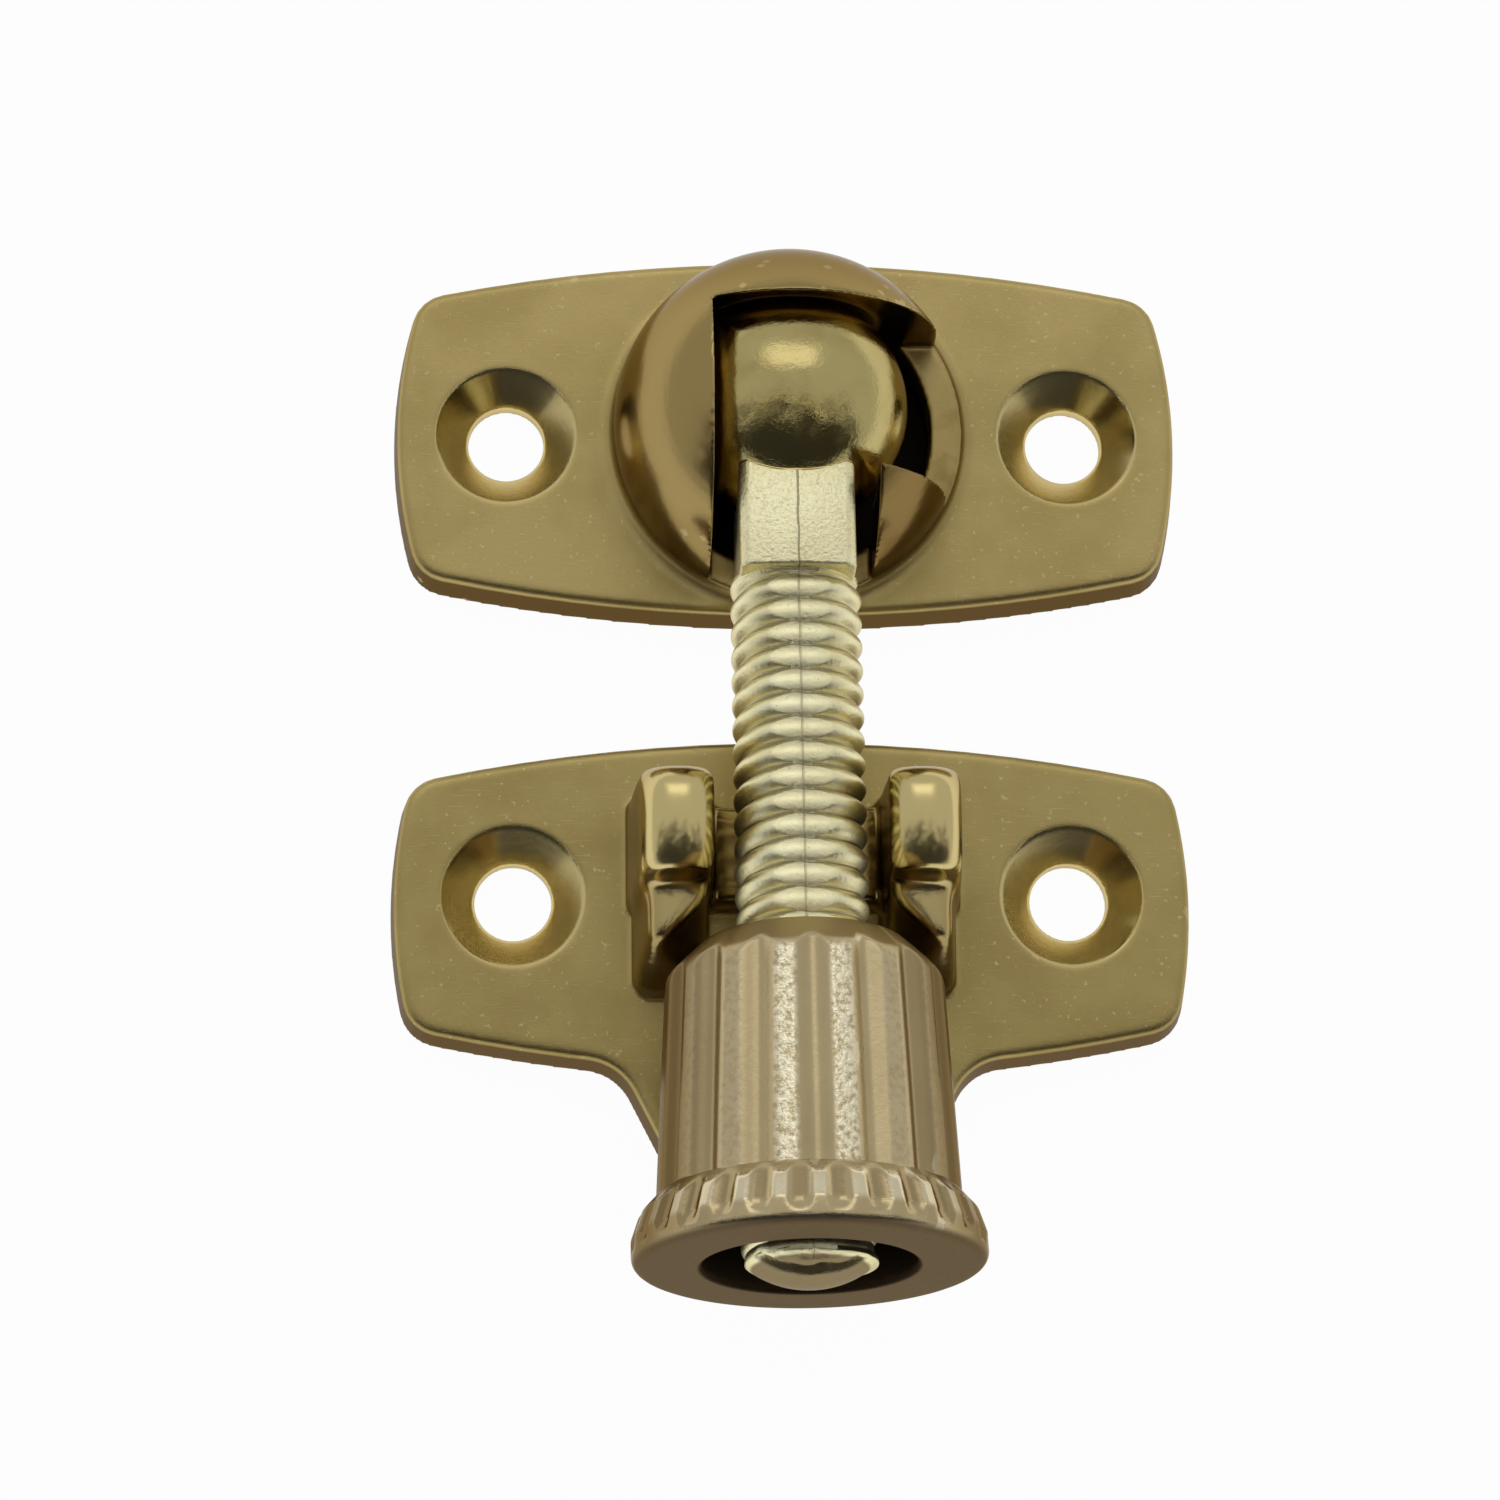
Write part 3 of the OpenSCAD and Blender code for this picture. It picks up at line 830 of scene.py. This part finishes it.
@dataclass
class CastPlate:
    """One cast plate: the solid's shape with the soft edges of a casting."""

    name: str
    node: str
    finish: PlateBrass
    depth: int = 8
    fill: float = 0.99
    softness: float = 0.5
    softening: int = 6
    raised_softening: int = 0
    raised_from: float = 3.4
    weld: float = 1e-6
    thumbs: Optional[ThumbTops] = None

    def skin(self, solid: bpy.types.Mesh) -> bpy.types.Mesh:
        """Covers a solid with an even skin.

        Args:
            solid: Mesh of the solid, in metres.

        Returns:
            The skin, with its edges softened.
        """
        shape = bmesh.new()
        shape.from_mesh(solid)
        bmesh.ops.remove_doubles(shape, verts=shape.verts, dist=self.weld)
        carrier = bpy.data.objects.new("carrier", as_mesh(shape, "rough"))
        bpy.context.scene.collection.objects.link(carrier)
        skin = carrier.modifiers.new("skin", "REMESH")
        skin.mode = "SHARP"
        skin.octree_depth = self.depth
        skin.scale = self.fill
        skin.use_remove_disconnected = False
        soft = carrier.modifiers.new("soft", "SMOOTH")
        soft.factor = self.softness
        soft.iterations = self.softening
        graph = bpy.context.evaluated_depsgraph_get()
        mesh = bpy.data.meshes.new_from_object(carrier.evaluated_get(graph), depsgraph=graph)
        bpy.data.objects.remove(carrier)
        return mesh

    def build(self, nodes: Mapping[str, bpy.types.Object]) -> bpy.types.Object:
        """Makes the plate.

        Args:
            nodes: Solids of the frame by name.

        Returns:
            The plate.
        """
        mesh = self.skin(nodes[self.node].data)
        shape = bmesh.new()
        shape.from_mesh(mesh)
        if self.thumbs is not None:
            self.thumbs.shape(shape.verts)
        raised = [v for v in shape.verts if v.co.z > self.raised_from * MM]
        for _ in range(self.raised_softening):
            bmesh.ops.smooth_vert(
                shape, verts=raised, factor=self.softness,
                use_axis_x=True, use_axis_y=True, use_axis_z=True,
            )
        shape.to_mesh(mesh)
        shape.free()
        return finished(self.name, mesh, self.finish, self.node, Body.PLATES)


@dataclass
class RetainingDisc:
    """Sheet disc under the ball, blanked out with one rolled edge and one sharper edge."""

    radius: float = 10.15
    thickness: float = 0.7
    setback: float = 0.1
    rolled: float = 0.25
    sharp: float = 0.08
    dish: float = 0.06
    dish_from: float = 0.6
    dish_to: float = 0.8
    dish_round: float = 6.0
    point_gap: float = 0.8
    turn_steps: int = 96

    def build(self) -> bpy.types.Object:
        """Returns the disc."""
        path = fillet([
            (0.0, self.setback + self.dish, 0.0),
            (self.radius * self.dish_from, self.setback + self.dish, self.dish_round),
            (self.radius * self.dish_to, self.setback, self.dish_round),
            (self.radius, self.setback, self.rolled),
            (self.radius, self.setback + self.thickness, self.sharp),
            (0.0, self.setback + self.thickness, 0.0),
        ])
        shape = turned(refined(path, self.point_gap), self.turn_steps)
        mesh = placed(shape, Matrix.Identity(4))
        finish = SheetBrass(name="rolled_sheet")
        return finished("retaining_disc", mesh, finish, "ball_retainer", Body.PLATES)


@dataclass(frozen=True)
class Staking:
    """Blunt chisel mark across the arm's end, which wanders and leaves a burr above it."""

    depth: float = 0.55
    place: float = 2.3
    width: float = 0.28
    wander: float = 0.4
    width_change: float = 0.1
    wave_scale: float = 0.7
    wave_seed: float = 3.1
    fade: float = 0.5
    fade_reach: float = 4.0
    burr: float = 0.12
    burr_from: float = 1.7
    burr_run: float = 0.6
    burr_scale: tuple[float, float] = (1.6, 2.4)
    burr_seed: float = 7.7

    def drop(self, x: float, y: float) -> float:
        """Returns how far the mark lowers a point of the end.

        Args:
            x: Place across the arm.
            y: Place above its middle.

        Returns:
            The drop.
        """
        wave = noise.noise(Vector((x * self.wave_scale, 0.0, self.wave_seed)))
        past = (y - self.place - self.wander * wave) / (self.width + self.width_change * wave)
        crease = math.exp(-(past ** 2)) * (1.0 - self.fade * min(1.0, abs(x) / self.fade_reach))
        rough = noise.noise(Vector((x * self.burr_scale[0], y * self.burr_scale[1], self.burr_seed)))
        rough *= max(0.0, min(1.0, (y - self.burr_from) / self.burr_run))
        return self.depth * crease + self.burr * abs(rough)


@dataclass
class BallArm:
    """Cast arm: ball, square neck, thread with flats where the mould parted, and a staked end."""

    line: ArmLine
    ball_radius: float = 7.55
    ball_steps: int = 64
    length: float = 58.4
    neck_width: float = 7.4
    neck_height: float = 8.6
    neck_start: float = 4.6
    neck_end: float = 12.6
    neck_chamfer: float = 0.5
    neck_ridge: float = 0.2
    neck_edge: float = 0.21
    edge_angle: float = 20.0
    crest: float = 4.2
    root: float = 3.55
    crest_power: float = 0.8
    flats: float = 3.72
    pitch: float = 1.608
    first_crest: float = 13.83
    thread_overlap: float = 0.3
    spare_turns: int = 3
    mismatch: float = 0.07
    mismatch_run: float = 0.12
    turn_steps: int = 72
    pitch_steps: int = 12
    pitch_weld: float = 0.01
    tip_radius: float = 6.4
    tip_steps: int = 30
    cap_start: float = 57.0
    cap_turn_steps: int = 96
    skirt: float = 1.2
    skirt_inset: float = 0.1
    skirt_gap: float = 0.6
    staking: Staking = Staking()

    def thread(self) -> bmesh.types.BMesh:
        """Returns the thread, cut square at the neck and under the cap, with its two flats."""
        turns = math.ceil((self.cap_start - self.neck_end) / self.pitch) + self.spare_turns
        lead = math.ceil((self.first_crest - self.neck_end) / self.pitch) + self.spare_turns / 2
        start = self.first_crest - self.pitch * lead
        shape = bmesh.new()
        outline = []
        for k in range(self.pitch_steps + 1):
            share = k / self.pitch_steps
            height = math.sin(math.pi * share) ** self.crest_power
            radius = self.root + (self.crest - self.root) * height
            outline.append(shape.verts.new((0.0, radius, start + self.pitch * share)))
        lines = [shape.edges.new(pair) for pair in zip(outline, outline[1:])]
        bmesh.ops.spin(
            shape, geom=outline + lines, cent=(0, 0, 0), axis=(0, 0, 1),
            dvec=(0, 0, self.pitch / self.turn_steps), angle=2 * math.pi, steps=self.turn_steps,
        )
        repeat(shape, [Matrix.Translation((0.0, 0.0, self.pitch * k)) for k in range(1, turns)])
        bmesh.ops.remove_doubles(shape, verts=shape.verts, dist=self.pitch_weld)
        for side in (1.0, -1.0):
            self.trim(shape, Vector((0.0, side * self.flats, 0.0)), Vector((0.0, side, 0.0)))
        self.trim(shape, Vector((0.0, 0.0, self.neck_end - self.thread_overlap)), Vector((0.0, 0.0, -1.0)))
        self.trim(shape, Vector((0.0, 0.0, self.cap_start)), Vector((0.0, 0.0, 1.0)))
        for vert in shape.verts:
            vert.co.z += self.mismatch * math.tanh(vert.co.x / self.mismatch_run)
        return shape

    @staticmethod
    def trim(shape: bmesh.types.BMesh, point: Vector, outward: Vector) -> None:
        """Cuts a shape along a plane and closes the cut.

        Args:
            shape: Shape that is cut.
            point: Point on the plane.
            outward: Normal on the side that goes.
        """
        cut = bmesh.ops.bisect_plane(
            shape, geom=shape.verts[:] + shape.edges[:] + shape.faces[:], dist=WELD,
            plane_co=point, plane_no=outward, clear_outer=True,
        )
        rim = [e for e in cut["geom_cut"] if isinstance(e, bmesh.types.BMEdge) and e.is_boundary]
        bmesh.ops.holes_fill(shape, edges=rim, sides=0)

    def neck(self) -> bmesh.types.BMesh:
        """Returns the square neck with chamfered corners, rounded edges and its parting ridge."""
        w, h, c = self.neck_width / 2, self.neck_height / 2, self.neck_chamfer
        upper = [(w, h - c), (w - c, h), (0.0, h + self.neck_ridge), (c - w, h), (-w, h - c)]
        section = upper + [(x, -y) for x, y in reversed(upper)]
        shape = bmesh.new()
        face = shape.faces.new([shape.verts.new((x, y, self.neck_start)) for x, y in section])
        grown = bmesh.ops.extrude_face_region(shape, geom=[face])
        ends = [v for v in grown["geom"] if isinstance(v, bmesh.types.BMVert)]
        bmesh.ops.translate(shape, vec=(0.0, 0.0, self.neck_end - self.neck_start), verts=ends)
        bmesh.ops.recalc_face_normals(shape, faces=shape.faces)
        sharpest = math.radians(self.edge_angle)
        corners = [e for e in shape.edges if e.calc_face_angle(0.0) > sharpest]
        bmesh.ops.bevel(
            shape, geom=corners, offset=self.neck_edge, offset_type="OFFSET", segments=3,
            profile=0.5, affect="EDGES", material=-1, clamp_overlap=True,
        )
        return shape

    def ball(self) -> bmesh.types.BMesh:
        """Returns the ball, turned from its half outline."""
        angles = [math.pi * k / self.ball_steps for k in range(self.ball_steps + 1)]
        path = [
            Vector((self.ball_radius * math.sin(a), 0.0, -self.ball_radius * math.cos(a))) for a in angles
        ]
        return turned(path, 2 * self.ball_steps)

    def cap(self) -> bmesh.types.BMesh:
        """Returns the domed end, staked across with a blunt chisel."""
        centre = self.length - self.tip_radius
        rim = math.sqrt(self.tip_radius ** 2 - (self.cap_start - centre) ** 2)
        reach = math.asin(rim / self.tip_radius)
        angles = [reach * (1 - k / self.tip_steps) for k in range(self.tip_steps + 1)]
        dome = [
            Vector((self.tip_radius * math.sin(a), 0.0, centre + self.tip_radius * math.cos(a)))
            for a in angles
        ]
        inner = self.cap_start - self.skirt
        skirt = [Vector((0.0, 0.0, inner)), Vector((rim - self.skirt_inset, 0.0, inner))]
        shape = turned(refined(skirt, self.skirt_gap) + dome, self.cap_turn_steps)
        for vert in shape.verts:
            if vert.co.z >= self.cap_start - self.skirt_inset:
                vert.co.z -= self.staking.drop(vert.co.x, vert.co.y)
        return shape

    def build(self) -> bpy.types.Object:
        """Returns the arm."""
        whole = bmesh.new()
        for shape in (self.ball(), self.neck(), self.thread(), self.cap()):
            bmesh.ops.recalc_face_normals(shape, faces=shape.faces)
            part = as_mesh(shape, "part")
            whole.from_mesh(part)
            bpy.data.meshes.remove(part)
        finish = ArmBrass(
            name="cast_arm", line=self.line, ball_radius=self.ball_radius, root=self.root
        )
        mesh = placed(whole, self.line.place())
        return finished("ball_arm", mesh, finish, "threaded_arm", Body.ARM)


@dataclass
class BarrelNut:
    """Fluted barrel nut with a scalloped collar, a flange and a hollow outer end."""

    line: ArmLine
    nose_place: float = 36.754
    length: float = 20.4
    bore: float = 4.4
    bore_round: float = 0.25
    nose_radius: float = 6.4
    nose_round: float = 0.8
    small_radius: float = 8.7
    shoulder_round: float = 1.5
    large_radius: float = 9.4
    foot_round: float = 0.35
    collar_radius: float = 10.4
    collar_round: float = 1.2
    flange_radius: float = 10.9
    flange_length: float = 4.2
    flange_round: float = 0.7
    flare_run: float = 1.1
    rim_length: float = 1.6
    rim_round: float = 0.7
    hollow_radius: float = 6.6
    hollow_depth: float = 9.8
    hollow_round: float = 0.3
    hollow_corner: float = 0.4
    point_gap: float = 0.45
    ribs: int = 16
    groove_width: float = 1.8
    groove_flare: float = 0.3
    groove_depth: float = 0.55
    groove_power: float = 1.6
    groove_overrun: float = 0.05
    scallops: int = 28
    scallop_depth: float = 0.4
    scallop_share: float = 0.84
    scallop_overrun: float = 0.1
    cut_blend: float = 0.12
    inside_margin: float = 0.2
    nose_run: float = 2.0

    @property
    def foot(self) -> float:
        """Place along the nut at which the barrel ends and the flange starts."""
        return self.length - self.flange_length

    def section(self) -> list[Vector]:
        """Returns the half section from the bore's nose end round to the bore's inner end."""
        end = self.length
        path = fillet([
            (self.bore, end - self.hollow_depth, 0.0),
            (self.bore, 0.0, self.bore_round),
            (self.nose_radius, 0.0, self.nose_round),
            (self.small_radius, self.small_radius - self.nose_radius, self.shoulder_round),
            (self.large_radius, self.foot, self.foot_round),
            (self.collar_radius, self.foot + self.flare_run, self.collar_round),
            (self.flange_radius, end - self.rim_length, self.flange_round),
            (self.flange_radius, end, self.rim_round),
            (self.hollow_radius, end, self.hollow_round),
            (self.hollow_radius, end - self.hollow_depth, self.hollow_corner),
            (self.bore, end - self.hollow_depth, 0.0),
        ])
        return refined(path, self.point_gap)

    def groove(self, angle: float, s: float) -> float:
        """Returns the radius to which the grooves cut the barrel.

        Args:
            angle: Angle round the axis.
            s: Place along the axis from the nose.

        Returns:
            The radius, which has no limit where no groove reaches.
        """
        if s > self.foot + self.groove_overrun:
            return math.inf
        start = self.small_radius - self.nose_radius
        taper = (self.large_radius - self.small_radius) * (s - start) / (self.foot - start)
        line = self.small_radius + taper
        step = 2 * math.pi / self.ribs
        across = abs((angle + step / 2) % step - step / 2) * line
        half = self.groove_width / 2 + self.groove_flare
        if across >= half:
            return math.inf
        return line - self.groove_depth * math.cos(math.pi * across / half / 2) ** self.groove_power

    def scallop(self, angle: float, s: float) -> float:
        """Returns the radius to which the scallops cut the collar.

        Args:
            angle: Angle round the axis.
            s: Place along the axis from the nose.

        Returns:
            The radius, which has no limit where no scallop reaches.
        """
        step = 2 * math.pi / self.scallops
        across = abs(angle % step - step / 2) * self.flange_radius
        size = self.scallop_share * self.flange_radius * math.sin(math.pi / self.scallops)
        if s < self.foot - self.scallop_overrun or across >= size:
            return math.inf
        past_rim = s - (self.length - self.rim_length)
        left = size * size - across * across - max(0.0, past_rim) ** 2
        if left <= 0.0:
            return math.inf
        collar_length = self.flange_length - self.rim_length - self.flare_run
        slope = (self.flange_radius - self.collar_radius) / collar_length
        centre = self.flange_radius + (size - self.scallop_depth) + min(0.0, past_rim) * slope
        return centre - math.sqrt(left)

    def build(self) -> bpy.types.Object:
        """Returns the nut."""
        shape = turned(self.section(), self.ribs * self.scallops)
        for vert in shape.verts:
            radius = math.hypot(vert.co.x, vert.co.y)
            if radius < self.hollow_radius + self.inside_margin and vert.co.z > self.nose_run:
                continue
            angle = math.atan2(vert.co.y, vert.co.x)
            cut = min(self.groove(angle, vert.co.z), self.scallop(angle, vert.co.z))
            if math.isfinite(cut):
                vert.co.xy *= soft_min(radius, cut, self.cut_blend) / radius
        finish = NutBrass(
            name="cast_nut", line=self.line, nose=self.nose_place, foot=self.nose_place + self.foot,
            end=self.nose_place + self.length, hollow=self.hollow_radius,
            ribs=self.ribs, scallops=self.scallops,
        )
        mesh = placed(shape, self.line.place(self.nose_place))
        return finished("barrel_nut_body", mesh, finish, "barrel_nut", Body.NUT)


@dataclass
class Studio:
    """Pale floor, soft light from behind and above, and a darker front.

    Blotches in the sky are counted on a dome of one metre, and steps on one of radius 1.
    """

    floor_half: float = 3.0
    floor_cells: int = 8
    floor_place: float = -0.00003
    floor_colour: Colour = (0.9, 0.9, 0.9)
    floor_white: float = 0.97
    sky: float = 0.8
    front: float = 0.06
    ragged: Blotches = Blotches(1 / (6.0 * MM), 3.0)
    ragged_reach: float = 0.9
    front_edge: Step = (0.08, 0.16)
    front_sides: Step = (0.94, 0.82)
    front_above: Step = (0.08, 0.22)
    spark: float = 4.0
    lamps: Blotches = Blotches(1 / (16.0 * MM), 1.0)
    spark_step: Step = (0.62, 0.66)
    spark_reach: Step = (0.6, 0.25)
    window: float = 0.95
    window_middle: float = -0.05
    window_near: Step = (0.38, 0.56)
    window_far: Step = (0.84, 0.68)
    window_sides: Step = (0.5, 0.25)
    window_above: Step = (0.1, 0.4)

    def floor(self) -> None:
        """Lays the floor, which looks white and keeps the shadow."""
        shape = bmesh.new()
        bmesh.ops.create_grid(
            shape, x_segments=self.floor_cells, y_segments=self.floor_cells, size=self.floor_half
        )
        bmesh.ops.translate(shape, vec=(0.0, 0.0, self.floor_place), verts=shape.verts)
        mesh = as_mesh(shape, "floor")
        floor = bpy.data.objects.new("floor", mesh)
        bpy.context.scene.collection.objects.link(floor)
        material = bpy.data.materials.new("pale_floor")
        tree = Tree(material)
        matt = tree.add("ShaderNodeBsdfDiffuse", None, {"Color": (*self.floor_colour, 1.0)})
        glow = tree.add("ShaderNodeEmission", None, {"Strength": 1.0})
        white = self.seen(tree) * self.floor_white
        surface = tree.add("ShaderNodeMixShader", None, {0: white, 1: matt, 2: glow})
        tree.add("ShaderNodeOutputMaterial", None, {"Surface": surface})
        mesh.materials.append(material)

    @staticmethod
    def seen(tree: Tree) -> Wire:
        """Finds the rays that see the floor itself.

        Args:
            tree: Tree of the floor.

        Returns:
            1 for rays from the camera or off gloss and glass, and 0 for the rest.
        """
        seen = tree.add("ShaderNodeLightPath", out="Is Camera Ray")
        rays = seen.socket.node.outputs
        for kind in ("Is Glossy Ray", "Is Transmission Ray"):
            seen = seen.math("MAXIMUM", seen, Wire(tree, rays[kind]))
        return seen

    def world(self) -> None:
        """Sets the sky, with a window above and a ragged dark patch in front of the fastener."""
        world = bpy.data.worlds.new("studio")
        bpy.context.scene.world = world
        tree = Tree(world)
        direction = tree.add("ShaderNodeTexCoord", out="Generated")
        x, y, z = tree.numbers(direction)
        ragged, lamps = tree.noises(direction, self.ragged, self.lamps)
        edge = self.ragged_reach * ragged - self.ragged_reach / 2 - y
        dark = edge.rise(*self.front_edge) * abs(x).rise(*self.front_sides) * z.rise(*self.front_above)
        sparks = lamps.rise(*self.spark_step) * edge.rise(*self.spark_reach)
        window = y.rise(*self.window_near) * y.rise(*self.window_far)
        window = window * abs(x - self.window_middle).rise(*self.window_sides)
        window = window * z.rise(*self.window_above)
        level = self.sky + dark * (self.front - self.sky + self.spark * sparks) + self.window * window
        camera = tree.add("ShaderNodeLightPath", out="Is Camera Ray")
        level = level * (1 - camera) + camera
        sky = tree.add("ShaderNodeBackground", None, {"Strength": level})
        tree.add("ShaderNodeOutputWorld", None, {"Surface": sky})

    def build(self) -> None:
        """Makes the studio."""
        self.floor()
        self.world()


@dataclass
class PhotoCamera:
    """Camera at the photograph's viewing angle, with its turn in degrees."""

    place: Point = (-18.35, -96.93, 300.02)
    turn: Point = (14.29, -2.859, -0.643)
    lens: float = 113.31
    sensor: float = 36.0
    clip: float = 10.0

    def build(self) -> None:
        """Sets the camera."""
        camera = bpy.data.cameras.new("photo_camera")
        camera.sensor_fit = "HORIZONTAL"
        camera.sensor_width = self.sensor
        camera.lens = self.lens
        camera.clip_start = self.clip * MM
        holder = bpy.data.objects.new("photo_camera", camera)
        holder.location = Vector(self.place) * MM
        holder.rotation_euler = Euler([math.radians(a) for a in self.turn], "XYZ")
        bpy.context.scene.collection.objects.link(holder)
        bpy.context.scene.camera = holder


def main() -> None:
    """Builds the fastener, the studio and the camera."""
    logging.basicConfig(level=logging.INFO, format="%(name)s %(message)s")
    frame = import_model()
    line = ArmLine.of(frame["joints"])
    PhotoCamera().build()
    Studio().build()
    hinge = SocketBrass(name="hinge_satin", hole_spacing=37.1, hole_y=0.0, socket_height=line.ball.z)
    keep = PlateBrass(name="keep_satin", hole_spacing=36.1, hole_y=-31.1, polished=(0.64, 0.525, 0.24))
    plates = (
        CastPlate("hinge_casting", "hinge_plate", hinge),
        CastPlate("keep_casting", "keep_plate", keep, raised_softening=45, thumbs=ThumbTops()),
    )
    for plate in plates:
        plate.build(frame["nodes"])
    RetainingDisc().build()
    BallArm(line).build()
    BarrelNut(line).build()
    bpy.context.scene.view_settings.view_transform = "Standard"
    bpy.context.view_layer.update()


if __name__ == "__main__":
    main()
